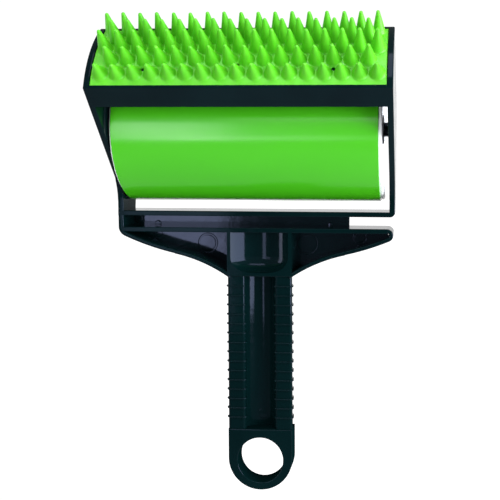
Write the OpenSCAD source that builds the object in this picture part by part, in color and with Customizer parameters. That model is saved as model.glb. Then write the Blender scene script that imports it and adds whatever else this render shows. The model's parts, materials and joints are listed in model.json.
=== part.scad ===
// Lint roller with a rubber finger pad: handle below, roller and pad above.
// Millimetres. +X right, +Y back, +Z up the handle. Origin: centre of the hanging hole.

/* [Frame] */
// Width over the outer faces of the two arms
frame_w = 160; // [152:1:168]
// Sideways shift of the arms from the handle's centre line
frame_shift = -2.3; // [-3:0.1:-1.5]
// Thickness of each arm plate
arm_t = 3.2; // [2.8:0.1:3.6]
// Depth of the frame from front to back
frame_d = 21.5; // [21:0.5:23]
// Height of the crossbar's top face
crossbar_z = 145.5; // [145:0.25:147]
// Thickness of the crossbar
crossbar_t = 2.9; // [2.4:0.1:3.2]
// Height of the wing bar's top face
wing_bar_z = 135.9; // [135.5:0.1:136.5]
// Thickness of the wing bar
wing_bar_t = 2.7; // [2.2:0.1:3]
// Thickness of the wings' curved lower rims
rim_t = 2.3; // [1.8:0.1:2.6]
// Thickness of the webs that close the back of the frame
web_t = 2.6; // [2:0.1:3.2]
// Right end of the web, where the open release slot begins
slot_x = 50.4; // [45:0.1:58]

/* [Tray and finger pad] */
// Height of the tray's lower front edge
tray_z = 212.1; // [211:0.1:213]
// Tilt of the tray from the horizontal
tray_tilt = 52.8; // [52:0.1:53.5]
// Width of the tray across its rim, front to back
tray_chord = 42.7; // [42:0.1:43.5]
// Height of the rim's arch over its chord
tray_rise = 4.0; // [3.4:0.1:4.2]
// Depth of the tray's walls
tray_wall_h = 12; // [11:0.5:12.5]
// Thickness of the tray's front and rear walls
tray_wall_t = 1.6; // [1.4:0.1:1.8]
// Thickness of the rubber pad
pad_t = 2.4; // [2:0.1:2.8]
// Height of the tallest rubber fingers
finger_h = 13.6; // [11:0.1:14.5]
// Radius of each finger at its foot
finger_r = 3.5; // [3:0.1:3.5]
// Radius of each finger's rounded tip
tip_r = 0.95; // [0.7:0.05:1.2]
// Distance between neighbouring fingers along a row
finger_pitch = 8.97; // [8.8:0.01:9.1]

/* [Roller] */
// Outer radius of the sticky sleeve
roller_r = 41.9; // [40:0.1:42.5]
// Height of the roller's axis
roller_z = 192.5; // [192:0.1:194]
// Distance of the roller's axis behind the hanging hole
roller_y = 12; // [11:0.1:13]
// Thickness of the sticky sleeve
sleeve_t = 1.2; // [0.8:0.1:1.6]
// Wall thickness of the white core tube
core_t = 3; // [2.5:0.1:4]
// Radius of the two axle stubs on the arms
stub_r = 4.2; // [3.5:0.1:5]

/* [Handle] */
// Width of the handle
grip_w = 37.4; // [36:0.2:38.4]
// Height of the grip's lower end above the hanging hole
grip_low_z = 18.3; // [17.5:0.1:19.5]
// Height of the grip's upper end above the hanging hole
grip_top_z = 107.8; // [107.2:0.1:108.4]
// Width of the channel down the front of the grip
channel_w = 17.4; // [15:0.2:19]
// Number of raised ribs on each rail of the grip
rib_count = 15; // [10:1:15]
// Thickness of the hanging loop
loop_t = 12; // [11:0.5:13]
// Radius of the hanging loop's round end
loop_r = 18.7; // [18:0.1:19.4]
// Radius of the hanging hole
hole_r = 13.3; // [12:0.1:14]

/* [Hidden] */
$fn = 96;
front_y = -loop_t / 2;
back_y = front_y + frame_d;
left_x = frame_shift - frame_w / 2;
right_x = frame_shift + frame_w / 2;
inner_left_x = left_x + arm_t;
inner_right_x = right_x - arm_t;
crossbar_low_z = crossbar_z - crossbar_t;
wing_bar_low_z = wing_bar_z - wing_bar_t;
corner_r = 2.8;

// Each wing's lower edge: a hollow fillet next to the handle, then a full belly to the tip.
join_x = 49;
fillet_x = 68.1;
fillet_z = 33.6;
fillet_r = 89;
belly_x = 16.75;
belly_z = 267.2;
belly_r = 150;
wing_low_z = 90;
left_tip_r = 6;
right_tip_r = 3.7;
left_tip_x = -left_x - left_tip_r;
left_tip_z = 136.1;
right_tip_x = 73.1;
right_tip_z = wing_bar_z - right_tip_r;

// The block between the wings, with its hollow front.
yoke_wall_t = 2;
yoke_lip_h = 2;
yoke_low_r = 9;
basin_half = grip_w / 2 - yoke_wall_t;
basin_depth = 8;
basin_r = (basin_half * basin_half + basin_depth * basin_depth) / (2 * basin_depth);

// The tray's front edge in Y and Z; its section is drawn along the chord.
tray_y = front_y - 47.4;
tray_flare = 2.3;
tray_back_flare = 0.8;
arch_r = (tray_chord * tray_chord / 4 + tray_rise * tray_rise) / (2 * tray_rise);
pad_drop = 0.4;
pad_gap = 0.1;
deck_t = 2.2;
// Each row's place along the arch, and how much shorter than the tallest its fingers are.
row_arcs = [-13.35, -5.2, 2.85, 10, 16.4];
row_short = [3.9, 1.8, 0, 0.2, 1];
long_row = 17;
finger_sink = 1.2;
tip_swell = 1.04;
pin_r = 1;
pin_gap = 0.06;
pin_h = 1.4;
pins = [[-51.9, -10.9], [-2.4, -8.5], [47.1, -11], [-2.4, 12]];

core_r = roller_r - sleeve_t;
core_left_x = inner_left_x + 0.9;
core_right_x = inner_right_x - 3.3;
sleeve_left_x = core_left_x + 1;
sleeve_right_x = core_right_x - 2;
cap_t = 2.5;
cap_depth = 9;
cap_web_r = core_r - core_t;
hub_r = 8.5;
hub_recess = 0.6;
spoke_t = 2;
spoke_count = 6;
bore_gap = 0.08;
bore_depth = 14;
stub_len = 9;
collar_r = 7;
collar_h = 0.5;

// The grip is half-round behind, with its centre rail_flat_d behind its flat front.
grip_front_y = front_y + 0.8;
rail_flat_d = 1.2;
channel_wall_d = 3;
channel_arc_d = 5;
channel_depth = channel_wall_d + channel_arc_d;
channel_r = (channel_w * channel_w / 4 + channel_arc_d * channel_arc_d) / (2 * channel_arc_d);
rib_h = 0.9;
rib_out = 0.8;
rib_wrap = 3;
rib_first_z = 25.2;
rib_pitch = 5.5;
loop_centre_z = 1.05;
mark_h = 0.5;

// Draws a Y and Z section from x0 to x1.
module along_x(x0, x1) {
    translate([x0, 0, 0]) rotate([90, 0, 90]) linear_extrude(x1 - x0) children();
}

// Draws an X and Z section from y0 to y1.
module along_y(y0, y1) {
    translate([0, y1, 0]) rotate([90, 0, 0]) linear_extrude(y1 - y0) children();
}

// Stands a solid on the roller's axis, its +Z turned to +X.
module on_axis(x) {
    translate([x, roller_y, roller_z]) rotate([0, 90, 0]) children();
}

// Moves a section from the tray's own axes into Y and Z.
module in_tray() {
    translate([tray_y, tray_z]) rotate(tray_tilt) children();
}

module arch_disc(drop) {
    translate([tray_chord / 2, tray_rise - arch_r]) circle(arch_r - drop);
}

// The whole section of the tray: splayed walls below, arched rim above.
module tray_section() {
    intersection() {
        polygon([[0, 0], [0, 2 * tray_rise], [tray_chord, 2 * tray_rise], [tray_chord, 0],
            [tray_chord + tray_back_flare, -tray_wall_h], [-tray_flare, -tray_wall_h]]);
        arch_disc(0);
    }
}

// The space between the front and rear walls, shrunk by gap.
module between_walls(gap) {
    inset = tray_wall_t + gap;
    polygon([[inset, tray_rise + 1], [inset, 0], [inset - tray_flare, -tray_wall_h],
        [tray_chord + tray_back_flare - inset, -tray_wall_h], [tray_chord - inset, 0],
        [tray_chord - inset, tray_rise + 1]]);
}

module tray_half(x0, w) {
    intersection() {
        difference() {
            tray_section();
            between_walls(0);
        }
        translate([x0, -tray_wall_h - 1]) square([w, tray_wall_h + tray_rise + 2]);
    }
}

module tray_deck() color([0.02, 0.1, 0.1]) {
    along_x(inner_left_x, inner_right_x) in_tray() intersection() {
        difference() {
            arch_disc(pad_drop + pad_t);
            arch_disc(pad_drop + pad_t + deck_t);
        }
        between_walls(0);
        translate([-5, -tray_wall_h]) square([tray_chord + 10, tray_wall_h + tray_rise]);
    }
}

module tray_front_wall() color([0.02, 0.1, 0.1]) {
    along_x(inner_left_x, inner_right_x) in_tray() tray_half(-5, 5 + tray_chord / 2);
}

module tray_rear_wall() color([0.02, 0.1, 0.1]) {
    along_x(inner_left_x, inner_right_x) in_tray() tray_half(tray_chord / 2, tray_chord);
}

// Side view of an arm, from the crossbar up to the end of the tray.
module arm_section() {
    front_low = [front_y, crossbar_z];
    front = [front_y, 151];
    bend_a = [front_y - 1.5, 158.5];
    bend_b = [front_y - 4.2, 164.6];
    tray_front = [-45.23, 203.02];
    tray_mid = [-37, 222];
    tray_rear = [-17.5, 239.4];
    back_a = [14, 215];
    back_b = [20.5, 208];
    back_c = [22, 196];
    back_low = [back_y, crossbar_z];
    polygon([front_low, front, bend_a, bend_b, tray_front, tray_mid, tray_rear, back_a, back_b,
        back_c, back_low]);
    in_tray() tray_section();
}

module left_arm() color([0.02, 0.12, 0.12]) {
    along_x(left_x, inner_left_x) arm_section();
}

module right_arm() color([0.02, 0.12, 0.12]) {
    along_x(inner_right_x, right_x) arm_section();
}

// The lower bar of the ring, with the ring's rounded corner at its right end.
module crossbar() color([0.03, 0.14, 0.14]) {
    along_y(front_y, back_y) {
        translate([left_x, crossbar_low_z]) square([frame_w - corner_r, crossbar_t]);
        intersection() {
            translate([right_x - corner_r, crossbar_low_z + corner_r]) circle(corner_r);
            translate([right_x - corner_r, crossbar_low_z]) square([corner_r, crossbar_t]);
        }
        translate([right_x - corner_r, crossbar_low_z + corner_r])
            square([corner_r, crossbar_t - corner_r]);
    }
}

// One wing on the +X side, cut off by cap and shrunk inwards by t.
module wing_shape(t, end_x) {
    difference() {
        translate([grip_w / 2, wing_low_z]) square([join_x - grip_w / 2, wing_bar_low_z - wing_low_z]);
        translate([fillet_x, fillet_z]) circle(fillet_r + t);
    }
    intersection() {
        translate([join_x, wing_low_z]) square([end_x - join_x, wing_bar_low_z - wing_low_z]);
        translate([belly_x, belly_z]) circle(belly_r - t);
    }
}

// The rounded end of a wing, with its centre at x, z and shrunk inwards by t.
module wing_tip(x, z, r, t) {
    lean = asin((x - belly_x) / (belly_r - r));
    translate([x, z]) circle(r - t);
    intersection() {
        translate([belly_x, belly_z]) circle(belly_r - t);
        translate([x - 1, z - r - 2]) square([1 + (r - t) * sin(lean), r + 2]);
    }
}

module left_wing_outline(t) {
    wing_shape(t, left_tip_x);
    wing_tip(left_tip_x, left_tip_z, left_tip_r, t);
    translate([left_tip_x, left_tip_z]) square([left_tip_r - t, crossbar_low_z - left_tip_z]);
    translate([join_x, wing_bar_low_z - 1])
        square([left_tip_x - join_x, crossbar_low_z - wing_bar_low_z + 1]);
}

module right_wing_outline(t) {
    wing_shape(t, right_tip_x);
    wing_tip(right_tip_x, right_tip_z, right_tip_r, t);
}

module left_wing_rim() color([0.03, 0.16, 0.17]) {
    along_y(front_y, back_y) mirror([1, 0]) difference() {
        left_wing_outline(0);
        difference() {
            left_wing_outline(rim_t);
            translate([-inner_left_x, wing_bar_z]) square([arm_t, crossbar_low_z - wing_bar_z]);
        }
        translate([join_x, wing_bar_z]) square([-inner_left_x - join_x, 20]);
    }
}

module right_wing_rim() color([0.03, 0.16, 0.17]) {
    along_y(front_y, back_y) difference() {
        right_wing_outline(0);
        right_wing_outline(rim_t);
        translate([0, wing_bar_low_z]) square([right_tip_x, 20]);
    }
}

// The bar that closes the wings at the top, from the left rim to the right tip.
module wing_bar() color([0.03, 0.15, 0.16]) {
    along_y(front_y, back_y) {
        translate([-join_x, wing_bar_low_z]) square([join_x + right_tip_x, wing_bar_t]);
        mirror([1, 0]) intersection() {
            left_wing_outline(rim_t);
            translate([join_x, wing_bar_low_z]) square([left_tip_x, wing_bar_t]);
        }
    }
}

// Low round moulding marks [x, z, radius] on the back web, cut off where the child ends.
module web_marks(marks) {
    along_y(back_y - web_t - mark_h, back_y - 1) intersection() {
        union() {
            for (p = marks) translate([p[0], p[1]]) circle(p[2]);
        }
        children();
    }
}

module channel_floor() {
    translate([inner_left_x, wing_bar_z])
        square([slot_x - inner_left_x, crossbar_low_z - wing_bar_z]);
}

// The web at the back between the crossbar and the wing bar.
module channel_web() color([0.05, 0.09, 0.14]) {
    along_y(back_y - web_t, back_y) channel_floor();
    web_marks([[-76.8, 139.5, 2.7], [-64.7, 135.7, 2.1], [39.3, 135.7, 1.8]]) channel_floor();
}

module left_wing_floor() {
    mirror([1, 0]) intersection() {
        left_wing_outline(rim_t);
        translate([grip_w / 2, wing_low_z]) square([frame_w / 2, wing_bar_low_z - wing_low_z]);
    }
}

module right_wing_floor() {
    intersection() {
        right_wing_outline(rim_t);
        translate([grip_w / 2, wing_low_z]) square([frame_w / 2, wing_bar_low_z - wing_low_z]);
    }
}

// The webs at the back of the wings' pockets.
module left_wing_web() color([0.05, 0.09, 0.14]) {
    along_y(back_y - web_t, back_y) left_wing_floor();
    web_marks([[-34.5, 124.9, 5.2], [-64.5, 129.8, 3.2]]) left_wing_floor();
}

module right_wing_web() color([0.05, 0.09, 0.14]) {
    along_y(back_y - web_t, back_y) right_wing_floor();
    web_marks([[25.2, 125.1, 6], [56.6, 128.9, 3.4]]) right_wing_floor();
}

// The space hollowed out of the yoke: a part of a round column with a rounded lower end.
module basin(h) {
    translate([0, 0, yoke_low_r]) cylinder(r = basin_r, h = h - yoke_low_r);
    cylinder(r = basin_r - yoke_low_r, h = h);
    translate([0, 0, yoke_low_r]) rotate_extrude() translate([basin_r - yoke_low_r, 0])
        circle(yoke_low_r);
}

// The block where the handle meets the frame: thin side edges round a smooth open basin.
module yoke_block() color([0.02, 0.1, 0.11]) {
    difference() {
        translate([-grip_w / 2, front_y, grip_top_z])
            cube([grip_w, frame_d, wing_bar_low_z - grip_top_z]);
        translate([0, front_y + basin_depth - basin_r, grip_top_z + yoke_lip_h])
            basin(wing_bar_z - grip_top_z);
    }
}

// Plan of the grip, grown outwards by t: flat in front, half-round behind.
module grip_plan(t) {
    half = grip_w / 2 + t;
    translate([0, grip_front_y + rail_flat_d]) intersection() {
        circle(half);
        translate([-half, -rail_flat_d - t]) square([2 * half, half + rail_flat_d + t]);
    }
}

// Plan of the channel, shrunk inwards by t: two side walls and one wide arc behind.
module channel_plan(t) {
    half = channel_w / 2 - t;
    translate([-half, grip_front_y - 5]) square([2 * half, channel_wall_d + 5]);
    intersection() {
        translate([0, grip_front_y + channel_depth - channel_r]) circle(channel_r - t);
        translate([-half, grip_front_y]) square([2 * half, channel_depth]);
    }
}

// The grip: two rails joined behind a channel with a curved floor.
module grip_body() color([0.02, 0.09, 0.1]) {
    translate([0, 0, grip_low_z]) linear_extrude(grip_top_z - grip_low_z) difference() {
        grip_plan(0);
        channel_plan(0);
    }
}

// Raised ribs round one rail, from just inside the channel to the middle of the back.
module grip_ribs(side) {
    for (i = [0 : rib_count - 1])
        translate([0, 0, rib_first_z + i * rib_pitch - rib_h / 2])
            linear_extrude(rib_h) difference() {
                grip_plan(rib_out);
                difference() {
                    grip_plan(0);
                    channel_plan(0);
                }
                channel_plan(rib_out);
                translate([-channel_w / 2, grip_front_y + rib_wrap]) square([channel_w, channel_depth]);
                translate([side * grip_w, 0]) square(2 * grip_w, center = true);
            }
}

module left_grip_ribs() color([0.05, 0.14, 0.15]) {
    grip_ribs(1);
}

module right_grip_ribs() color([0.05, 0.14, 0.15]) {
    grip_ribs(-1);
}

module hang_loop() color([0.02, 0.1, 0.11]) {
    along_y(front_y, front_y + loop_t) difference() {
        union() {
            intersection() {
                translate([0, loop_centre_z]) circle(loop_r);
                translate([-loop_r, loop_centre_z - loop_r]) square([2 * loop_r, loop_r]);
            }
            translate([-loop_r, loop_centre_z]) square([2 * loop_r, grip_low_z - loop_centre_z]);
        }
        circle(hole_r);
    }
}

// An axle stub with its low collar, pointing along its own +Z.
module axle_stub() {
    cylinder(r = collar_r, h = collar_h);
    cylinder(r = stub_r, h = stub_len - 1);
    translate([0, 0, stub_len - 1]) cylinder(r1 = stub_r, r2 = stub_r - 0.8, h = 1);
}

module left_axle_stub() color([0.02, 0.1, 0.1]) {
    on_axis(inner_left_x) axle_stub();
}

module right_axle_stub() color([0.02, 0.1, 0.1]) {
    on_axis(inner_right_x) mirror([0, 0, 1]) axle_stub();
}

// Puts a solid on the arched pad, arc mm behind the middle of the arch, its +Z standing out.
module on_arch(x, arc) {
    turn = arc / arch_r * 180 / PI;
    translate([x, tray_y, tray_z]) rotate([tray_tilt, 0, 0])
        translate([0, tray_chord / 2, tray_rise - arch_r]) rotate([-turn, 0, 0])
        translate([0, 0, arch_r - pad_drop]) children();
}

// A blunt cone whose foot is sunk into the pad and whose rounded tip swells slightly.
module finger(h) {
    slope = (finger_r - tip_r) / (h - tip_r);
    ball_r = tip_r * tip_swell;
    translate([0, 0, -finger_sink])
        cylinder(r1 = finger_r + slope * finger_sink, r2 = tip_r, h = h - tip_r + finger_sink);
    translate([0, 0, h - ball_r]) sphere(ball_r);
}

// The soft pad: an arched sheet with rows of blunt fingers, every other row shifted.
module finger_pad() color([0.3, 0.85, 0.12]) {
    difference() {
        union() {
            along_x(inner_left_x + pad_gap, inner_right_x - pad_gap) in_tray() intersection() {
                difference() {
                    arch_disc(pad_drop);
                    arch_disc(pad_drop + pad_t);
                }
                between_walls(pad_gap);
                translate([0, -tray_rise]) square([tray_chord, 3 * tray_rise]);
            }
            for (row = [0 : len(row_arcs) - 1]) {
                in_row = long_row - row % 2;
                for (i = [0 : in_row - 1])
                    on_arch(frame_shift + (i - (in_row - 1) / 2) * finger_pitch, row_arcs[row])
                        finger(finger_h - row_short[row]);
            }
        }
        for (p = pins)
            on_arch(p[0], p[1]) cylinder(r = pin_r + pin_gap, h = 20, center = true);
    }
}

// Four short pins that stand on the deck inside the pad's holes.
module locating_pins() color([0.02, 0.08, 0.08]) {
    for (p = pins)
        on_arch(p[0], p[1]) translate([0, 0, -pad_t]) cylinder(r = pin_r, h = pin_h);
}

module ring(outer, inner, h) {
    difference() {
        cylinder(r = outer, h = h);
        translate([0, 0, -1]) cylinder(r = inner, h = h + 2);
    }
}

module core_tube() color([0.95, 0.95, 0.96]) {
    on_axis(core_left_x) ring(core_r, core_r - core_t, core_right_x - core_left_x);
}

module sticky_sleeve() color([0.3, 0.75, 0.15]) {
    on_axis(sleeve_left_x) ring(roller_r, core_r, sleeve_right_x - sleeve_left_x);
}

// A cap inside the tube's end: web, hub, bore and stiffening spokes, its outside at z = 0.
module end_cap() {
    difference() {
        union() {
            translate([0, 0, cap_depth]) cylinder(r = cap_web_r, h = cap_t);
            translate([0, 0, hub_recess]) cylinder(r = hub_r, h = cap_depth + bore_depth - 6);
            for (i = [0 : spoke_count - 1])
                rotate([0, 0, i * 360 / spoke_count + 15]) translate([hub_r - 1, -spoke_t / 2, 3])
                    cube([cap_web_r - hub_r - 1, spoke_t, cap_depth - 2]);
        }
        translate([0, 0, -1]) cylinder(r = stub_r + bore_gap, h = bore_depth + 1);
    }
}

module left_end_cap() color([0.85, 0.87, 0.9]) {
    on_axis(core_left_x) end_cap();
}

module right_end_cap() color([0.85, 0.87, 0.9]) {
    on_axis(core_right_x) mirror([0, 0, 1]) end_cap();
}

tray_deck();
tray_front_wall();
tray_rear_wall();
left_arm();
right_arm();
crossbar();
channel_web();
wing_bar();
left_wing_rim();
right_wing_rim();
left_wing_web();
right_wing_web();
yoke_block();
grip_body();
left_grip_ribs();
right_grip_ribs();
hang_loop();
left_axle_stub();
right_axle_stub();
finger_pad();
locating_pins();
core_tube();
sticky_sleeve();
left_end_cap();
right_end_cap();
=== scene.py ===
"""Looks for the lint roller: one dark moulded frame, a rubber finger pad and a sticky roller."""

import math
import random

import bmesh
import bpy
from mathutils import Matrix, Vector
from mathutils.geometry import tessellate_polygon
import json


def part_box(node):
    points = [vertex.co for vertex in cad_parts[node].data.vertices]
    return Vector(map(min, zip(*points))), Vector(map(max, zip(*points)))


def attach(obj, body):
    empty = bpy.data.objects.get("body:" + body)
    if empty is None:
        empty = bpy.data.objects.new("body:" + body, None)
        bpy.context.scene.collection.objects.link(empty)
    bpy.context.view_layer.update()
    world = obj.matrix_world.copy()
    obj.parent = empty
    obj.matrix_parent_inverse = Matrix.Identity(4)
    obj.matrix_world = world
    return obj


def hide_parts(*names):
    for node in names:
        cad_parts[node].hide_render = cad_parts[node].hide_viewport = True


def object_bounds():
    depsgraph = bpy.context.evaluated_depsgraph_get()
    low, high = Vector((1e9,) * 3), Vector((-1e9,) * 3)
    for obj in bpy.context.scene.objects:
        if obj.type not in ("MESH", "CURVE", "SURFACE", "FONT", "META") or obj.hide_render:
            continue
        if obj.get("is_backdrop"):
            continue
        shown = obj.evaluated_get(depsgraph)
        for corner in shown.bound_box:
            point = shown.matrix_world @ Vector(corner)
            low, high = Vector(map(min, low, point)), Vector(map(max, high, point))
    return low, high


MM = 0.001
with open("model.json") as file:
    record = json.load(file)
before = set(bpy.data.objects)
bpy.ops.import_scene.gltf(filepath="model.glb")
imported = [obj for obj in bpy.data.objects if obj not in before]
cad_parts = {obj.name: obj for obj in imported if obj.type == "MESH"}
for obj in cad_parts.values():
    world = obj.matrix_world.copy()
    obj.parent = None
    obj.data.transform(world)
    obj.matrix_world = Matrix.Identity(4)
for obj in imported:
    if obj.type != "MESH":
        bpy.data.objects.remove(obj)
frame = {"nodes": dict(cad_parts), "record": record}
cad_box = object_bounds()


# ---------------------------------------------------------------- sizes, in millimetres


def box_mm(node):
    """The low and high corners of a CAD node's box."""
    low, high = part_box(node)
    return low / MM, high / MM


CROSS_LOW, CROSS_HIGH = box_mm("crossbar")
BAR_LOW, BAR_HIGH = box_mm("wing_bar")
YOKE_LOW, YOKE_HIGH = box_mm("yoke_block")
GRIP_LOW, GRIP_HIGH = box_mm("grip_body")
LOOP_LOW, LOOP_HIGH = box_mm("hang_loop")
LEFT_X, RIGHT_X = CROSS_LOW.x, CROSS_HIGH.x
FRONT_Y, BACK_Y = CROSS_LOW.y, CROSS_HIGH.y
INNER_LEFT_X = box_mm("left_arm")[1].x
INNER_RIGHT_X = box_mm("right_arm")[0].x
MIDDLE_X = (LEFT_X + RIGHT_X) / 2
SLOT_X = box_mm("channel_web")[1].x
WEB_T = 2.6
WEB_Y = BACK_Y - WEB_T
HALF_GRIP = YOKE_HIGH.x
RIM_T = 2.3
GRIP_FRONT = GRIP_LOW.y
GRIP_MID = GRIP_FRONT + 1.2
CHANNEL_HALF = 8.7
CHANNEL_WALL_D = 3.0
CHANNEL_D = 8.0
CHANNEL_ARC_D = CHANNEL_D - CHANNEL_WALL_D
CHANNEL_R = (CHANNEL_HALF**2 + CHANNEL_ARC_D**2) / (2 * CHANNEL_ARC_D)
RAIL_SOFT = 1.5
RIB_COUNT, RIB_T, RIB_OUT = 15, 0.9, 0.75
BASIN_HALF = HALF_GRIP - 2
BASIN_D = 8.0
BASIN_R = (BASIN_HALF**2 + BASIN_D**2) / (2 * BASIN_D)
BASIN_LOW_R = 9.0
BASIN_LOW_Z = YOKE_LOW.z + 2
HANG_HOLE_R = 13.3
CORNER_R = 2.8

# Radii of the moulding's edges.
RIM_EDGE, ARM_EDGE, LOOP_EDGE, YOKE_EDGE = 0.85, 0.6, 0.55, 0.7
WEB_EDGE, GRIP_EDGE, TRAY_EDGE = 0.3, 0.3, 0.3
RIB_EDGE, MARK_EDGE, MARK_RING_EDGE = 0.36, 0.2, 0.12

# Marks of the ejector pins on the webs: x, z and radius. The last three stand in a low ring.
MARKS = (
    (-76.2, 139.4, 2.4),
    (-64.7, 136.4, 1.9),
    (39.3, 136.2, 1.6),
    (-64.5, 130.4, 2.3),
    (-34.5, 124.9, 4.9),
    (25.2, 125.1, 5.5),
    (56.6, 129.0, 3.1),
)
MARK_RINGS = ((-34.5, 124.9, 5.6), (25.2, 125.1, 6.2), (56.6, 129.0, 3.7))

# Arcs of the wings' lower edge, on the +X side: a hollow fillet, then a full belly.
JOIN_X = 49.0
FILLET = (68.1, 33.6, 89.0)
BELLY = (16.75, 267.2, 150.0)
LEFT_TIP = (-LEFT_X - 6.0, 136.1, 6.0)
RIGHT_TIP = (73.1, BAR_HIGH.z - 3.7, 3.7)

# The tray's own axes: s runs back along its chord, n stands out of it.
TRAY_TILT = math.radians(52.8)
TRAY_CHORD = 42.7
TRAY_RISE = 4.0
TRAY_WALL_H = 12.0
TRAY_WALL_T = 1.6
TRAY_Y = FRONT_Y - 47.4
TRAY_Z = 212.1
ARCH_R = (TRAY_CHORD**2 / 4 + TRAY_RISE**2) / (2 * TRAY_RISE)
PAD_DROP = 0.4
PAD_T = 2.4
DECK_T = 2.2
PAD_INSET = TRAY_WALL_T + 0.1

# Rows of fingers from the front: place along the arch, height and radius of the foot.
ROWS = (
    (-13.35, 9.7, 4.15),
    (-5.2, 11.8, 4.15),
    (2.85, 13.6, 4.15),
    (10, 13.4, 4.15),
    (16.4, 12.6, 3.7),
)
FINGERS_IN_ROW = 17
FINGER_PITCH = 8.97
FINGER_TIP_R = 1.0
FINGER_BEND = 0.018

# The pad's small holes, by x and place along the arch.
PIN_SPOTS = ((-51.9, -10.9), (-2.4, -8.5), (47.1, -11), (-2.4, 12))
PIN_HOLE_R = 1.06

SLEEVE_LOW, SLEEVE_HIGH = box_mm("sticky_sleeve")
CORE_LOW, CORE_HIGH = box_mm("core_tube")
ROLLER_Y = (SLEEVE_LOW.y + SLEEVE_HIGH.y) / 2
ROLLER_Z = (SLEEVE_LOW.z + SLEEVE_HIGH.z) / 2
ROLLER_R = (SLEEVE_HIGH.y - SLEEVE_LOW.y) / 2
CORE_R = (CORE_HIGH.y - CORE_LOW.y) / 2
CORE_T = 3.0
CORE_EDGE, SLEEVE_EDGE = 0.7, 0.35
CAP_R = CORE_R - CORE_T - 0.02
BORE_R, HUB_R = 4.28, 8.5
CAP_WEB_LOW, CAP_WEB_HIGH, CAP_HIGH = 9, 11.5, 17.6
SPOKES, SPOKE_HALF, FIRST_SPOKE = 6, 1, 15


# ---------------------------------------------------------------- outlines


def arc(cx, cy, r, start, end, steps):
    """Points of an arc from start to end, in degrees."""
    turn = [math.radians(start + (end - start) * i / steps) for i in range(steps + 1)]
    return [(cx + r * math.cos(a), cy + r * math.sin(a)) for a in turn]


def circle(cx, cy, r, steps):
    """Points of a whole circle, without a doubled end."""
    return arc(cx, cy, r, 0, 360, steps)[:-1]


def rectangle(x0, y0, x1, y1):
    """The corners of a rectangle, turning left."""
    return [(x0, y0), (x1, y0), (x1, y1), (x0, y1)]


def tray_point(s, n):
    """A point of the tray's section, in Y and Z."""
    c, k = math.cos(TRAY_TILT), math.sin(TRAY_TILT)
    return (TRAY_Y + s * c - n * k, TRAY_Z + s * k + n * c)


def arch_height(s, drop):
    """How far the arch, lowered by drop, stands over the chord at s."""
    across = s - TRAY_CHORD / 2
    return TRAY_RISE - ARCH_R + math.sqrt((ARCH_R - drop) ** 2 - across**2)


def arch_points(s0, s1, drop, steps=24):
    """Points of the lowered arch from s0 to s1."""
    every = [s0 + (s1 - s0) * i / steps for i in range(steps + 1)]
    return [(s, arch_height(s, drop)) for s in every]


def wing_edge(tip, inset, steps=36):
    """The wing's lower edge from the handle to its tip on the +X side, moved inwards by inset."""
    fx, fz, fr = FILLET
    bx, bz, br = BELLY
    reach, points = fr + inset, []
    for i in range(steps + 1):
        x = HALF_GRIP - 1.5 + (JOIN_X - HALF_GRIP + 1.5) * i / steps
        points.append((x, fz + math.sqrt(reach**2 - (x - fx) ** 2)))
    lean = math.asin((tip[0] - bx) / (br - tip[2]))
    last = bx + (br - inset) * math.sin(lean)
    for i in range(1, steps):
        x = JOIN_X + (last - JOIN_X) * i / steps
        points.append((x, bz - math.sqrt((br - inset) ** 2 - (x - bx) ** 2)))
    return points, math.degrees(lean) - 90


def mirrored(points):
    """The outline on the other side of the middle plane, turning the same way."""
    return [(-x, z) for x, z in reversed(points)]


# ---------------------------------------------------------------- meshes


def signed_area(loop):
    """The loop's area, above zero where it turns left."""
    pairs = zip(loop, loop[1:] + loop[:1])
    return sum(a[0] * b[1] - b[0] * a[1] for a, b in pairs) / 2


def tidy_loop(loop, ccw):
    """The loop without doubled points, running the way that is asked for."""
    kept = []
    for p in loop:
        if not kept or math.dist(p, kept[-1]) > 1e-4:
            kept.append(p)
    if math.dist(kept[0], kept[-1]) < 1e-4:
        kept.pop()
    return kept if (signed_area(kept) > 0) == ccw else kept[::-1]


def inset_loop(loop, by):
    """The loop moved to its own left by a small distance."""
    moved = []
    for i, p in enumerate(loop):
        a, b = loop[i - 1], loop[(i + 1) % len(loop)]
        u = Vector((p[0] - a[0], p[1] - a[1])).normalized()
        v = Vector((b[0] - p[0], b[1] - p[1])).normalized()
        side = Vector((-u.y - v.y, u.x + v.x))
        scale = 2 / max(side.length_squared, 1.2)
        moved.append((p[0] + side.x * scale * by, p[1] + side.y * scale * by))
    return moved


def moulded(loops, low, high, place, edge=0.5, steps=3):
    """A solid between low and high with rounded edges. place turns (u, v, w) into a point in mm."""
    loops = [tidy_loop(loop, i == 0) for i, loop in enumerate(loops)]
    rings = []
    for i in range(steps + 1):
        a = math.pi / 2 * i / steps
        rings.append((edge * (1 - math.sin(a)), low + edge * (1 - math.cos(a))))
    rings += [(inset, high - (w - low)) for inset, w in reversed(rings)]
    bm = bmesh.new()
    flats, made = [], []
    for inset, w in rings:
        flat = [inset_loop(loop, inset) if inset > 1e-6 else loop for loop in loops]
        flats.append(flat)
        made.append(
            [[bm.verts.new(Vector(place(u, v, w)) * MM) for u, v in loop] for loop in flat]
        )
    for below, above in zip(made, made[1:]):
        for lo, hi in zip(below, above):
            for i in range(len(lo)):
                j = (i + 1) % len(lo)
                bm.faces.new((lo[i], lo[j], hi[j], hi[i]))
    for level in (0, -1):
        verts = [v for loop in made[level] for v in loop]
        outlines = [[Vector((u, v, 0)) for u, v in loop] for loop in flats[level]]
        for tri in tessellate_polygon(outlines):
            bm.faces.new([verts[k] for k in tri])
    bmesh.ops.recalc_face_normals(bm, faces=bm.faces)
    return bm


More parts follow.
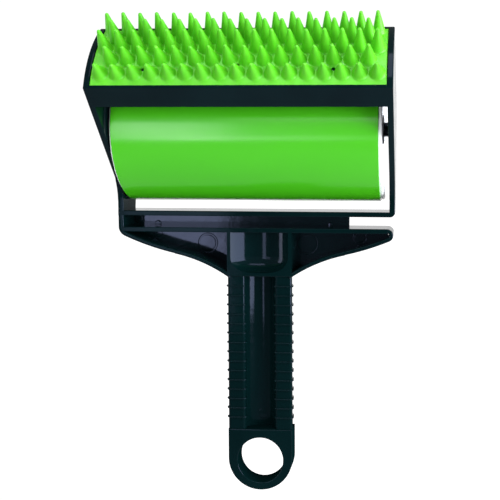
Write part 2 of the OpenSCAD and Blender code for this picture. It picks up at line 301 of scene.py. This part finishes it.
def lathe(profile, place, steps):
    """A closed solid turned from (radius, height) points that start and end on the axis."""
    bm = bmesh.new()
    rings = []
    for r, h in profile:
        if r < 1e-6:
            rings.append([bm.verts.new(Vector(place(0, 0, h)) * MM)])
            continue
        around = circle(0, 0, r, steps)
        rings.append([bm.verts.new(Vector(place(x, y, h)) * MM) for x, y in around])
    for a, b in zip(rings, rings[1:]):
        for i in range(steps):
            j = (i + 1) % steps
            corners = [a[i % len(a)], a[j % len(a)], b[j % len(b)], b[i % len(b)]]
            kept = [c for k, c in enumerate(corners) if c not in corners[:k]]
            if len(kept) > 2:
                bm.faces.new(kept)
    bmesh.ops.recalc_face_normals(bm, faces=bm.faces)
    return bm


def ring_solid(profile, place, steps):
    """A closed ring turned from a loop of (radius, height) points. One side may lie on the axis."""
    bm = bmesh.new()
    columns = []
    for i in range(steps):
        a = 2 * math.pi * i / steps
        turned = [(r * math.cos(a), r * math.sin(a), h) for r, h in profile]
        columns.append([bm.verts.new(Vector(place(*p)) * MM) for p in turned])
    for column, after in zip(columns, columns[1:] + columns[:1]):
        for k in range(len(profile)):
            n = (k + 1) % len(profile)
            if profile[k][0] or profile[n][0]:
                bm.faces.new((column[k], after[k], after[n], column[n]))
    bmesh.ops.remove_doubles(bm, verts=bm.verts, dist=1e-7)
    bmesh.ops.recalc_face_normals(bm, faces=bm.faces)
    return bm


def to_object(bm, name):
    """The mesh as an object in the scene."""
    mesh = bpy.data.meshes.new(name)
    bm.to_mesh(mesh)
    bm.free()
    obj = bpy.data.objects.new(name, mesh)
    bpy.context.scene.collection.objects.link(obj)
    return obj


def combine(base, others, operation):
    """base after joining or cutting every other object, which are used up."""
    group = bpy.data.collections.new("used_up")
    for o in others:
        bpy.context.scene.collection.objects.unlink(o)
        group.objects.link(o)
    bpy.context.scene.collection.children.link(group)
    mod = base.modifiers.new("combine", "BOOLEAN")
    mod.operand_type = "COLLECTION"
    mod.collection = group
    mod.operation = operation
    mod.solver = "MANIFOLD"
    bpy.context.view_layer.update()
    result = base.evaluated_get(bpy.context.evaluated_depsgraph_get())
    mesh = bpy.data.meshes.new_from_object(result)
    base.modifiers.clear()
    base.data = mesh
    for o in others:
        bpy.data.objects.remove(o)
    bpy.data.collections.remove(group)
    return base


def finish_piece(obj, body, nodes, material, smooth=35):
    """Smooths, paints and places a finished piece, and lets it stand for its CAD nodes."""
    obj.data.materials.clear()
    obj.data.materials.append(material)
    for p in obj.data.polygons:
        p.use_smooth = True
        p.material_index = 0
    obj.data.set_sharp_from_angle(angle=math.radians(smooth))
    weighted = obj.modifiers.new("even_normals", "WEIGHTED_NORMAL")
    weighted.keep_sharp = True
    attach(obj, body)
    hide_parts(*nodes)
    return obj


def along_x(u, v, w):
    """Places an outline drawn in Y and Z."""
    return (w, u, v)


def along_y(u, v, w):
    """Places an outline drawn in X and Z."""
    return (u, w, v)


def along_z(u, v, w):
    """Places an outline drawn in X and Y."""
    return (u, v, w)


def standing_on(spot):
    """Places a turned solid by a matrix."""
    return lambda a, b, h: spot @ Vector((a, b, h))


# ---------------------------------------------------------------- frame moulding


def rim_loop(tip, left):
    """The strip that closes a wing from below, from the handle to its tip."""
    x, z, r = tip
    outer, lean = wing_edge(tip, 0)
    inner, _ = wing_edge(tip, RIM_T)
    if left:
        outer += arc(x, z, r, lean, 0, 14) + [(x + r, CROSS_LOW.z + 1.2)]
        inner += arc(x, z, r - RIM_T, lean, -20, 10)
        inner += [(-INNER_LEFT_X, z), (-INNER_LEFT_X, CROSS_LOW.z + 1.2)]
        return mirrored(outer + inner[::-1])
    outer += arc(x, z, r, lean, 90, 18) + [(x - 2, z + r)]
    inner += arc(x, z, r - RIM_T, lean, 90, 18) + [(x - 2, z + r - RIM_T)]
    return outer + inner[::-1]


def wing_floor(tip, left):
    """The outline of a wing's back web, let into the rim and the bar."""
    edge, _ = wing_edge(tip, RIM_T - 1)
    loop = edge + [(edge[-1][0], BAR_LOW.z + 1)] + [(HALF_GRIP - 1.5, BAR_LOW.z + 1)]
    return mirrored(loop) if left else loop


def lower_frame():
    """The crossbar, wing bar, curved rims and back webs."""
    r = CORNER_R
    cross = [(LEFT_X, CROSS_LOW.z), (RIGHT_X - r, CROSS_LOW.z)]
    cross += arc(RIGHT_X - r, CROSS_LOW.z + r, r, -90, 0, 10)
    cross += [(RIGHT_X, CROSS_HIGH.z), (LEFT_X, CROSS_HIGH.z)]
    yield moulded([cross], FRONT_Y, BACK_Y, along_y)
    bar = rectangle(LEFT_X + 1.1, BAR_LOW.z, RIGHT_TIP[0] + 0.5, BAR_HIGH.z)
    yield moulded([bar], FRONT_Y, BACK_Y, along_y)
    yield moulded([rim_loop(LEFT_TIP, True)], FRONT_Y, BACK_Y, along_y, RIM_EDGE, 4)
    yield moulded([rim_loop(RIGHT_TIP, False)], FRONT_Y, BACK_Y, along_y, RIM_EDGE, 4)
    yield moulded([wing_floor(LEFT_TIP, True)], WEB_Y, BACK_Y, along_y, WEB_EDGE)
    yield moulded([wing_floor(RIGHT_TIP, False)], WEB_Y, BACK_Y, along_y, WEB_EDGE)
    channel = [(LEFT_X + 1.2, BAR_HIGH.z - 1), (SLOT_X - 0.1, BAR_HIGH.z - 1)]
    channel += [(SLOT_X, CROSS_LOW.z + 1), (LEFT_X + 1.2, CROSS_LOW.z + 1)]
    yield moulded([channel], WEB_Y, BACK_Y, along_y, WEB_EDGE)


def moulding_marks():
    """Low round marks on the webs, where ejector pins pushed the moulding out."""
    for x, z, r in MARKS:
        yield moulded([circle(x, z, r, 48)], WEB_Y - 0.5, WEB_Y + 1, along_y, MARK_EDGE, 2)
    for x, z, r in MARK_RINGS:
        lip = [circle(x, z, r + 0.5, 56), circle(x, z, r, 56)]
        yield moulded(lip, WEB_Y - 0.3, WEB_Y + 1, along_y, MARK_RING_EDGE, 2)


def yoke():
    """The block where the handle meets the frame, hollowed into a smooth round basin."""
    plan = rectangle(-HALF_GRIP, FRONT_Y, HALF_GRIP, BACK_Y)
    block = moulded([plan], YOKE_LOW.z, BAR_LOW.z + 1.2, along_z, YOKE_EDGE, 4)
    r, high = BASIN_LOW_R, BAR_LOW.z + 6 - BASIN_LOW_Z
    profile = [(0, 0)] + arc(BASIN_R - r, r, r, -90, 0, 16) + [(BASIN_R, high), (0, high)]
    middle = FRONT_Y + BASIN_D - BASIN_R
    place = lambda x, y, h: (x, middle + y, BASIN_LOW_Z + h)
    basin = to_object(lathe(profile, place, 160), "basin")
    yield combine(to_object(block, "yoke"), [basin], "DIFFERENCE")


def grip_outline():
    """Plan of the grip: flat front with softened rail edges, half-round back, channel in front."""
    r, half, soft = HALF_GRIP, CHANNEL_HALF, RAIL_SOFT
    turn = math.degrees(math.asin(half / CHANNEL_R))
    plan = arc(r - soft, GRIP_FRONT + soft, soft, 0, -90, 8)
    plan += arc(half + soft, GRIP_FRONT + soft, soft, -90, -180, 8)
    plan += arc(0, GRIP_FRONT + CHANNEL_D - CHANNEL_R, CHANNEL_R, 90 - turn, 90 + turn, 40)
    plan += arc(-half - soft, GRIP_FRONT + soft, soft, 0, -90, 8)
    plan += arc(-r + soft, GRIP_FRONT + soft, soft, -90, -180, 8)
    return plan + arc(0, GRIP_MID, r, 180, 0, 56)


def rib_outline(out):
    """Plan of one rib on the +X rail: round its front and back, and a little into the channel."""
    r, half, soft = HALF_GRIP, CHANNEL_HALF, RAIL_SOFT
    inner_r, inner_y = r - 1.5, GRIP_FRONT + 3.6
    plan = arc(0, GRIP_MID, r + out, 90, 0, 30)
    plan += arc(r - soft, GRIP_FRONT + soft, soft + out, 0, -90, 8)
    plan += arc(half + soft, GRIP_FRONT + soft, soft + out, -90, -180, 8)
    plan += [(half - out, GRIP_FRONT + 2.8), (half + 0.6, inner_y), (inner_r, inner_y)]
    return plan + arc(0, GRIP_MID, inner_r, 8, 90, 20)


def grip():
    """The grip's two rails, the round-bottomed channel between them and the raised ribs."""
    yield moulded([grip_outline()], GRIP_LOW.z - 1, GRIP_HIGH.z + 1, along_z, GRIP_EDGE)
    low, high = box_mm("left_grip_ribs")
    first, last = low.z + RIB_T / 2, high.z - RIB_T / 2
    for i in range(RIB_COUNT):
        z = first + (last - first) * i / (RIB_COUNT - 1)
        for plan in (rib_outline(RIB_OUT), mirrored(rib_outline(RIB_OUT))):
            yield moulded([plan], z - RIB_T / 2, z + RIB_T / 2, along_z, RIB_EDGE)
    bottom = GRIP_FRONT + CHANNEL_D
    place = lambda x, y, h: (x, bottom - 0.35 + h, 25.2 + y)
    yield lathe([(0, 1.2), (2.8, 1.2), (2.8, 0.1), (2.6, 0), (0, 0)], place, 36)


def loop():
    """The flat hanging loop with its round hole."""
    z, r = LOOP_LOW.z + LOOP_HIGH.x, LOOP_HIGH.x
    outline = arc(0, z, r, 180, 360, 48) + [(r, LOOP_HIGH.z), (-r, LOOP_HIGH.z)]
    hole = circle(0, 0, HANG_HOLE_R, 72)
    yield moulded([outline, hole], LOOP_LOW.y, LOOP_HIGH.y, along_y, LOOP_EDGE, 4)


def arms():
    """The two side plates and the axle stubs on them."""
    outline = [(FRONT_Y, CROSS_HIGH.z - 1.4), (FRONT_Y, 151), (FRONT_Y - 0.5, 154.8)]
    outline += [(FRONT_Y - 1.5, 158.5), (FRONT_Y - 4.2, 164.6)]
    outline += [tray_point(-2.3, -TRAY_WALL_H), tray_point(0, 0)]
    outline += [tray_point(s, n) for s, n in arch_points(0.3, TRAY_CHORD - 0.3, 0)]
    outline += [tray_point(TRAY_CHORD, 0), tray_point(TRAY_CHORD + 0.8, -TRAY_WALL_H)]
    outline += [(14, 215), (20.5, 208), (22, 196)]
    outline += [(BACK_Y, CROSS_HIGH.z), (BACK_Y, CROSS_HIGH.z - 1.4)]
    yield moulded([outline], LEFT_X, INNER_LEFT_X, along_x, ARM_EDGE)
    yield moulded([outline], INNER_RIGHT_X, RIGHT_X, along_x, ARM_EDGE)
    stub = [(0, -1), (7, -1), (7, 0.3), (6.8, 0.5), (4.2, 0.5), (4.2, 8), (3.4, 9), (0, 9)]
    for x, side in ((INNER_LEFT_X, 1), (INNER_RIGHT_X, -1)):
        place = lambda a, b, h: (x + side * h, ROLLER_Y + a, ROLLER_Z + b)
        yield lathe(stub, place, 48)


def tray():
    """The tray's front and rear walls with the arched deck between them."""
    w, h = TRAY_WALL_T, TRAY_WALL_H
    top = PAD_DROP + PAD_T
    under = top + DECK_T
    section = [(0, 0), (w, arch_height(w, 0))]
    section += arch_points(w, TRAY_CHORD - w, top)
    section += [(TRAY_CHORD - w, arch_height(TRAY_CHORD - w, 0)), (TRAY_CHORD, 0)]
    section += [(TRAY_CHORD + 0.8, -h), (TRAY_CHORD + 0.8 - w, -h)]
    section += arch_points(w - 0.4, TRAY_CHORD - w + 0.1, under)[::-1]
    section += [(w - 2.3, -h), (-2.3, -h)]
    outline = [tray_point(s, n) for s, n in section]
    yield moulded([outline], LEFT_X + 1, RIGHT_X - 1, along_x, TRAY_EDGE)


def build_frame(material):
    """The whole moulding, joined into one solid."""
    makers = (lower_frame, moulding_marks, yoke, grip, loop, arms, tray)
    made = [part for make in makers for part in make()]
    parts = [p if isinstance(p, bpy.types.Object) else to_object(p, "frame_part") for p in made]
    body = combine(parts[0], parts[1:], "UNION")
    body.name = body.data.name = "frame_moulding"
    pad_nodes = ("finger_pad", "locating_pins")
    nodes = [n for n in frame["record"]["behaviour"]["bodies"]["frame"] if n not in pad_nodes]
    return finish_piece(body, "frame", nodes, material)


# ---------------------------------------------------------------- finger pad


def arch_place(x, along):
    """A matrix in mm that stands a piece on the pad, along mm behind the arch's middle."""
    turn = along / ARCH_R
    foot = tray_point(
        TRAY_CHORD / 2 + (ARCH_R - PAD_DROP) * math.sin(turn),
        TRAY_RISE - ARCH_R + (ARCH_R - PAD_DROP) * math.cos(turn),
    )
    lean = TRAY_TILT - turn
    return Matrix.Translation((x, foot[0], foot[1])) @ Matrix.Rotation(lean, 4, "X")


def finger_profile(height, foot, tip):
    """A blunt, nearly straight cone that flares a little into the pad."""
    slope = (foot - tip) / (height - tip)
    points = [(0, -1.4), (foot + 0.45, -1.4), (foot + 0.45, -0.12), (foot + 0.1, 0.1)]
    for i in range(7):
        h = 0.6 + (height - tip - 0.6) * i / 6
        points.append((foot - slope * h - 0.12 * (1 - i / 6), h))
    for i in range(1, 6):
        a = math.pi / 2 * i / 6
        points.append((tip * math.cos(a), height - tip + tip * math.sin(a)))
    return points + [(0, height)]


def build_pad(material):
    """The arched rubber sheet, its rows of fingers and the holes for the pins."""
    rng = random.Random(7)
    start, end = PAD_INSET, TRAY_CHORD - PAD_INSET
    low = arch_points(start - 0.15, end + 0.1, PAD_DROP + PAD_T - 0.02)
    high = arch_points(start, end, PAD_DROP)
    outline = [tray_point(s, n) for s, n in low + high[::-1]]
    sheet = moulded([outline], INNER_LEFT_X + 0.1, INNER_RIGHT_X - 0.1, along_x, 0.45)
    parts = [to_object(sheet, "pad_part")]
    for row, (along, tall, foot) in enumerate(ROWS):
        count = FINGERS_IN_ROW - row % 2
        for i in range(count):
            x = MIDDLE_X + (i - (count - 1) / 2) * FINGER_PITCH
            bend = Matrix.Rotation(rng.gauss(0, FINGER_BEND), 4, "X")
            bend = bend @ Matrix.Rotation(rng.gauss(0, FINGER_BEND), 4, "Y")
            spot = arch_place(x, along) @ bend
            shape = finger_profile(tall + rng.uniform(-0.35, 0.1), foot, FINGER_TIP_R)
            parts.append(to_object(lathe(shape, standing_on(spot), 28), "pad_part"))
    pad = combine(parts[0], parts[1:], "UNION")
    drill = [(0, -6), (PIN_HOLE_R, -6), (PIN_HOLE_R, 9), (0, 9)]
    spots = [arch_place(x, along) for x, along in PIN_SPOTS]
    holes = [to_object(lathe(drill, standing_on(spot), 24), "hole") for spot in spots]
    pad = combine(pad, holes, "DIFFERENCE")
    pad.name = pad.data.name = "finger_pad_rubber"
    return finish_piece(pad, "frame", ["finger_pad"], material, 50)


# ---------------------------------------------------------------- roller


def roller_place(a, b, h):
    """Places a turned solid on the roller's axis."""
    return (h, ROLLER_Y + a, ROLLER_Z + b)


def build_core(material):
    """The white tube with softly rounded ends."""
    x0, x1, r0, r1, e = CORE_LOW.x, CORE_HIGH.x, CORE_R - CORE_T, CORE_R, CORE_EDGE
    ring = arc(x0 + e, r1 - e, e, 180, 90, 5) + arc(x1 - e, r1 - e, e, 90, 0, 5)
    ring += arc(x1 - e, r0 + e, e, 0, -90, 5) + arc(x0 + e, r0 + e, e, -90, -180, 5)
    solid = ring_solid([(r, x) for x, r in ring], roller_place, 160)
    core = to_object(solid, "core_tube_white")
    return finish_piece(core, "roller", ["core_tube"], material)


def build_sleeve(material):
    """The sticky skin with its softly rounded ends."""
    x0, x1, e = SLEEVE_LOW.x, SLEEVE_HIGH.x, SLEEVE_EDGE
    ring = arc(x0 + e, ROLLER_R - e, e, 180, 90, 4) + arc(x1 - e, ROLLER_R - e, e, 90, 0, 4)
    ring += [(x1, CORE_R - 0.02), (x0, CORE_R - 0.02)]
    solid = ring_solid([(r, x) for x, r in ring], roller_place, 200)
    sleeve = to_object(solid, "sticky_sleeve_gel")
    return finish_piece(sleeve, "roller", ["sticky_sleeve"], material)


def build_cap(name, node, x, side, material):
    """An end cap: a recessed web, a hub with its bore, and six spokes."""
    place = lambda a, b, h: roller_place(a, b * side, x + side * h)
    low, high = CAP_WEB_LOW, CAP_WEB_HIGH
    body = [(BORE_R, 0.9), (BORE_R + 0.32, 0.6), (HUB_R - 0.3, 0.6), (HUB_R, 0.9)]
    body += [(HUB_R, low), (CAP_R - 0.3, low), (CAP_R, low + 0.3), (CAP_R, high)]
    body += [(HUB_R, high), (HUB_R, CAP_HIGH), (0, CAP_HIGH), (0, 14), (BORE_R, 14)]
    parts = [to_object(ring_solid(body, place, 72), name)]
    plan = rectangle(HUB_R - 1, -SPOKE_HALF, CAP_R - 0.6, SPOKE_HALF)
    for i in range(SPOKES):
        a = math.radians(FIRST_SPOKE + 360 / SPOKES * i)
        c, k = math.cos(a), math.sin(a)
        turned = lambda u, v, w: place(u * c - v * k, u * k + v * c, w)
        parts.append(to_object(moulded([plan], 3, CAP_WEB_LOW + 1, turned, 0.3, 2), "spoke"))
    cap = combine(parts[0], parts[1:], "UNION")
    return finish_piece(cap, "roller", [node], material)


# ---------------------------------------------------------------- materials


def new_material(name):
    """A new material with its node tree and its main shader."""
    material = bpy.data.materials.new(name)
    material.use_nodes = True
    tree = material.node_tree
    shader = next(n for n in tree.nodes if n.type == "BSDF_PRINCIPLED")
    return material, tree, shader


def add_noise(tree, scale, detail, stretch=(1, 1, 1)):
    """A noise in the object's own coordinates, in cycles a metre."""
    where = tree.nodes.new("ShaderNodeTexCoord")
    mapping = tree.nodes.new("ShaderNodeMapping")
    mapping.inputs["Scale"].default_value = stretch
    noise = tree.nodes.new("ShaderNodeTexNoise")
    noise.inputs["Scale"].default_value = scale
    noise.inputs["Detail"].default_value = detail
    noise.inputs["Roughness"].default_value = 0.55
    tree.links.new(where.outputs["Object"], mapping.inputs["Vector"])
    tree.links.new(mapping.outputs["Vector"], noise.inputs["Vector"])
    return noise.outputs["Fac"]


def add_range(tree, value, low, high, to_low, to_high):
    """The value moved from one range to another, and held at its ends."""
    node = tree.nodes.new("ShaderNodeMapRange")
    node.inputs["From Min"].default_value = low
    node.inputs["From Max"].default_value = high
    node.inputs["To Min"].default_value = to_low
    node.inputs["To Max"].default_value = to_high
    tree.links.new(value, node.inputs["Value"])
    return node.outputs["Result"]


def add_colours(tree, value, stops):
    """Colours picked along a ramp by the value."""
    ramp = tree.nodes.new("ShaderNodeValToRGB")
    for i, (at, colour) in enumerate(stops):
        stop = ramp.color_ramp.elements[i] if i < 2 else ramp.color_ramp.elements.new(at)
        stop.position = at
        stop.color = (*colour, 1)
    tree.links.new(value, ramp.inputs["Fac"])
    return ramp.outputs["Color"]


def add_bump(tree, shader, value, distance, strength):
    """A fine relief on the shader's surface, its depth in metres."""
    bump = tree.nodes.new("ShaderNodeBump")
    bump.inputs["Distance"].default_value = distance
    bump.inputs["Strength"].default_value = strength
    tree.links.new(value, bump.inputs["Height"])
    tree.links.new(bump.outputs["Normal"], shader.inputs["Normal"])


def add_axes(tree, vector):
    """A vector's X, Y and Z, by name."""
    split = tree.nodes.new("ShaderNodeSeparateXYZ")
    tree.links.new(vector, split.inputs["Vector"])
    return split.outputs


def add_product(tree, *values):
    """All the values multiplied together."""
    for value in values[1:]:
        both = tree.nodes.new("ShaderNodeMath")
        both.operation = "MULTIPLY"
        tree.links.new(values[0], both.inputs[0])
        tree.links.new(value, both.inputs[1])
        values = (both.outputs[0],)
    return values[0]


def add_polish(tree):
    """Specular level: mirror-bright back webs, satin front faces, a handle end worn dull."""
    geometry = tree.nodes.new("ShaderNodeNewGeometry")
    facing = add_axes(tree, geometry.outputs["Normal"])
    place = add_axes(tree, geometry.outputs["Position"])
    flat = add_range(tree, facing["Y"], -0.97, -0.995, 0, 1)
    front_low, front_high = (FRONT_Y + 1.6) * MM, (FRONT_Y + 2.4) * MM
    front = add_range(tree, place["Y"], front_high, front_low, 0, 1)
    back = add_range(tree, place["Y"], (WEB_Y - 2) * MM, (WEB_Y - 1) * MM, 0, 1)
    dulled = add_range(tree, add_product(tree, flat, front), 0, 1, 1, 0.4)
    polished = add_range(tree, add_product(tree, flat, back), 0, 1, 0.13, 0.3)
    side = add_range(tree, facing["Y"], -0.5, -0.3, 0, 1)
    low = add_range(tree, place["Z"], 0.027, 0.0245, 0, 1)
    worn = add_range(tree, add_product(tree, side, low), 0, 1, 1, 0)
    return add_product(tree, polished, dulled, worn)


def frame_plastic():
    """Glossy, almost black blue-green plastic with faint flow marks and handling scuffs."""
    material, tree, shader = new_material("dark_teal_plastic")
    flow = add_noise(tree, 26, 3, (1, 1, 0.35))
    colours = [(0.3, (0.0006, 0.0056, 0.0062)), (0.7, (0.0012, 0.0090, 0.0098))]
    tree.links.new(add_colours(tree, flow, colours), shader.inputs["Base Color"])
    scuffs = add_noise(tree, 210, 5)
    tree.links.new(add_range(tree, scuffs, 0.35, 0.75, 0.07, 0.15), shader.inputs["Roughness"])
    tree.links.new(add_polish(tree), shader.inputs["Specular IOR Level"])
    shader.inputs["Specular Tint"].default_value = (0.55, 0.62, 1.0, 1)
    grain = add_noise(tree, 520, 2)
    add_bump(tree, shader, grain, 0.00006, 0.25)
    return material


def green_rubber():
    """Soft satin silicone rubber: a little light passes through it, and it varies slightly."""
    material, tree, shader = new_material("green_rubber")
    cloud = add_noise(tree, 42, 3)
    colours = [(0.3, (0.085, 0.46, 0.008)), (0.72, (0.108, 0.56, 0.012))]
    tree.links.new(add_colours(tree, cloud, colours), shader.inputs["Base Color"])
    fine = add_noise(tree, 900, 3)
    tree.links.new(add_range(tree, fine, 0.3, 0.7, 0.38, 0.5), shader.inputs["Roughness"])
    shader.inputs["Subsurface Weight"].default_value = 0.25
    shader.inputs["Subsurface Radius"].default_value = (0.0006, 0.0024, 0.0004)
    shader.inputs["Subsurface Scale"].default_value = 1.0
    add_bump(tree, shader, fine, 0.00005, 0.3)
    return material


def sticky_gel():
    """Glossy tacky green skin: long soft waves under a clear top."""
    material, tree, shader = new_material("sticky_green_gel")
    cloud = add_noise(tree, 9, 3, (0.35, 1, 1))
    colours = [(0.3, (0.045, 0.37, 0.006)), (0.7, (0.060, 0.44, 0.010))]
    tree.links.new(add_colours(tree, cloud, colours), shader.inputs["Base Color"])
    haze = add_noise(tree, 60, 4, (0.5, 1, 1))
    tree.links.new(add_range(tree, haze, 0.3, 0.7, 0.16, 0.26), shader.inputs["Roughness"])
    shader.inputs["Coat Weight"].default_value = 0.25
    shader.inputs["Coat Roughness"].default_value = 0.16
    shader.inputs["Specular IOR Level"].default_value = 0.3
    ripple = add_noise(tree, 34, 2, (0.25, 1, 1))
    add_bump(tree, shader, ripple, 0.00035, 0.35)
    return material


def white_plastic(name, shade, rough):
    """White moulded plastic, faintly mottled."""
    material, tree, shader = new_material(name)
    cloud = add_noise(tree, 55, 3)
    darker = tuple(c * 0.94 for c in shade)
    colours = [(0.3, darker), (0.7, shade)]
    tree.links.new(add_colours(tree, cloud, colours), shader.inputs["Base Color"])
    fine = add_noise(tree, 380, 3)
    tree.links.new(add_range(tree, fine, 0.3, 0.7, rough, rough + 0.1), shader.inputs["Roughness"])
    add_bump(tree, shader, fine, 0.00004, 0.2)
    return material


def floor_paint():
    """Pale studio floor with a very faint mottle, lit from below where it lies behind the part."""
    material, tree, shader = new_material("pale_floor")
    cloud = add_noise(tree, 3, 3)
    colours = [(0.3, (0.49, 0.49, 0.49)), (0.7, (0.52, 0.52, 0.52))]
    tree.links.new(add_colours(tree, cloud, colours), shader.inputs["Base Color"])
    shader.inputs["Roughness"].default_value = 0.8
    shader.inputs["Specular IOR Level"].default_value = 0.1
    shader.inputs["Emission Color"].default_value = (1, 1, 1, 1)
    geometry = tree.nodes.new("ShaderNodeNewGeometry")
    place = add_axes(tree, geometry.outputs["Position"])
    behind = add_range(tree, place["Y"], 0.7, 1.0, 0, 1)
    beside = add_range(tree, place["X"], 1.1, 1.4, 1, 0)
    glow = add_range(tree, add_product(tree, behind, beside), 0, 1, 0, 0.95)
    tree.links.new(glow, shader.inputs["Emission Strength"])
    return material


# ---------------------------------------------------------------- studio


# In metres: the floor's height and radius, and the point that the softboxes face.
FLOOR_Z, FLOOR_R = -0.45, 9
LIT_POINT = (0, 0, 0.17)


def add_floor():
    """A wide pale disc well below the part."""
    bpy.ops.mesh.primitive_circle_add(
        vertices=96, radius=FLOOR_R, fill_type="NGON", location=(0, 0, FLOOR_Z)
    )
    floor = bpy.context.object
    floor.name = "studio_floor"
    floor.data.materials.append(floor_paint())
    floor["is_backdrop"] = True


def add_softbox(name, turn, rise, distance, width, height, glow, colour=(1, 1, 1)):
    """A soft light in front of the part: turn degrees to the right, rise degrees up."""
    a, e = math.radians(turn), math.radians(rise)
    ahead = Vector((math.sin(a) * math.cos(e), -math.cos(a) * math.cos(e), math.sin(e)))
    data = bpy.data.lights.new(name, "AREA")
    data.shape = "RECTANGLE"
    data.size, data.size_y = width, height
    data.energy = glow * math.pi * width * height
    data.color = colour
    light = bpy.data.objects.new(name, data)
    bpy.context.scene.collection.objects.link(light)
    light.location = Vector(LIT_POINT) + ahead * distance
    light.rotation_euler = (-ahead).to_track_quat("-Z", "Y").to_euler()
    return light


ROLLER_PIECES = ("sticky_sleeve_gel", "core_tube_white", "left_cap_white", "right_cap_white")


def aim_at(light, name, pieces):
    """Lets a light fall on some pieces only, as flags on a real set would."""
    only = bpy.data.collections.new(name)
    for piece in pieces:
        only.objects.link(bpy.data.objects[piece])
    light.light_linking.receiver_collection = only


def add_lights():
    """Softboxes all round the front, and a few that fall on the roller and the pad only."""
    cool = (0.94, 0.97, 1)
    add_softbox("left_softbox", -19, -3, 1.3, 0.22, 0.6, 6, cool)
    add_softbox("left_edge_softbox", -31, 4, 1.3, 0.3, 0.4, 2.2, cool)
    add_softbox("right_softbox", 66, 3, 1.2, 1.1, 0.8, 12, cool)
    add_softbox("far_left_softbox", -78, 5, 1.2, 0.35, 0.7, 6, cool)
    add_softbox("top_softbox", 0, 62, 1.1, 0.8, 0.55, 5)
    strip = add_softbox("roller_strip", -11, -13.5, 1.3, 0.42, 0.1, 3.5)
    aim_at(strip, "roller_lit", ROLLER_PIECES)
    low_fill = add_softbox("roller_fill", -4, -12.5, 1.3, 0.8, 0.16, 0.5)
    aim_at(low_fill, "fill_lit", ROLLER_PIECES)
    high_fill = add_softbox("green_fill", 8, 24, 1.2, 0.9, 0.5, 1.5)
    aim_at(high_fill, "green_lit", ROLLER_PIECES + ("finger_pad_rubber",))


def add_world():
    """White straight behind the part and grey all round, so that the dark plastic stays dark."""
    world = bpy.data.worlds.new("studio")
    bpy.context.scene.world = world
    world.use_nodes = True
    tree = world.node_tree
    back = tree.nodes["Background"]
    back.inputs["Color"].default_value = (1, 1, 1, 1)
    where = tree.nodes.new("ShaderNodeTexCoord")
    ahead = add_axes(tree, where.outputs["Generated"])
    turn = tree.nodes.new("ShaderNodeMath")
    turn.operation = "ARCTAN2"
    tree.links.new(ahead["X"], turn.inputs[0])
    tree.links.new(ahead["Y"], turn.inputs[1])
    left = add_range(tree, turn.outputs[0], -0.62, -0.52, 0, 1)
    right = add_range(tree, turn.outputs[0], 0.108, 0.13, 1, 0)
    under = add_range(tree, ahead["Z"], -0.55, -0.48, 0, 1)
    over = add_range(tree, ahead["Z"], 0.23, 0.28, 1, 0)
    window = add_product(tree, left, right, under, over)
    shade = add_range(tree, window, 0, 1, 0.4, 1.05)
    tree.links.new(shade, back.inputs["Strength"])


# The camera's place in mm, its turns in radians, and its lens and shift as parts of the width.
CAMERA_AT = (89.25, FRONT_Y - 459.92, 183.48)
YAW, PITCH, ROLL = 0.0681, 0.0656, 0.0024
SENSOR = 36
FOCAL = 817 / 500
SHIFT = (-0.22, -0.1027)


def add_camera():
    """The photograph's viewpoint: a nearly level view from the right, cropped off centre."""
    yaw, pitch, roll = YAW, PITCH, ROLL
    level_part = math.cos(pitch)
    ahead = Vector((-math.sin(yaw) * level_part, math.cos(yaw) * level_part, -math.sin(pitch)))
    level = Vector((math.cos(yaw), math.sin(yaw), 0))
    upright = level.cross(ahead)
    right = level * math.cos(roll) + upright * math.sin(roll)
    up = right.cross(ahead)
    data = bpy.data.cameras.new("camera")
    data.sensor_width = SENSOR
    data.lens = FOCAL * SENSOR
    data.shift_x, data.shift_y = SHIFT
    data.clip_start = 0.01
    camera = bpy.data.objects.new("camera", data)
    bpy.context.scene.collection.objects.link(camera)
    place = Matrix((right, up, -ahead)).transposed().to_4x4()
    place.translation = Vector(CAMERA_AT) * MM
    camera.matrix_world = place
    bpy.context.scene.camera = camera


def main():
    """Builds every piece, then the studio around them."""
    plastic = frame_plastic()
    white = white_plastic("white_core_plastic", (0.86, 0.87, 0.89), 0.2)
    cap_white = white_plastic("cap_plastic", (0.74, 0.76, 0.8), 0.35)
    build_frame(plastic)
    build_pad(green_rubber())
    build_core(white)
    build_sleeve(sticky_gel())
    build_cap("left_cap_white", "left_end_cap", CORE_LOW.x, 1, cap_white)
    build_cap("right_cap_white", "right_end_cap", CORE_HIGH.x, -1, cap_white)
    pins = frame["nodes"]["locating_pins"]
    pins.data.materials.clear()
    pins.data.materials.append(plastic)
    add_floor()
    add_lights()
    add_world()
    add_camera()
    bpy.context.scene.view_settings.view_transform = "Standard"


main()
str([[[float(x) for x in corner] for corner in b] for b in (cad_box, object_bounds())])
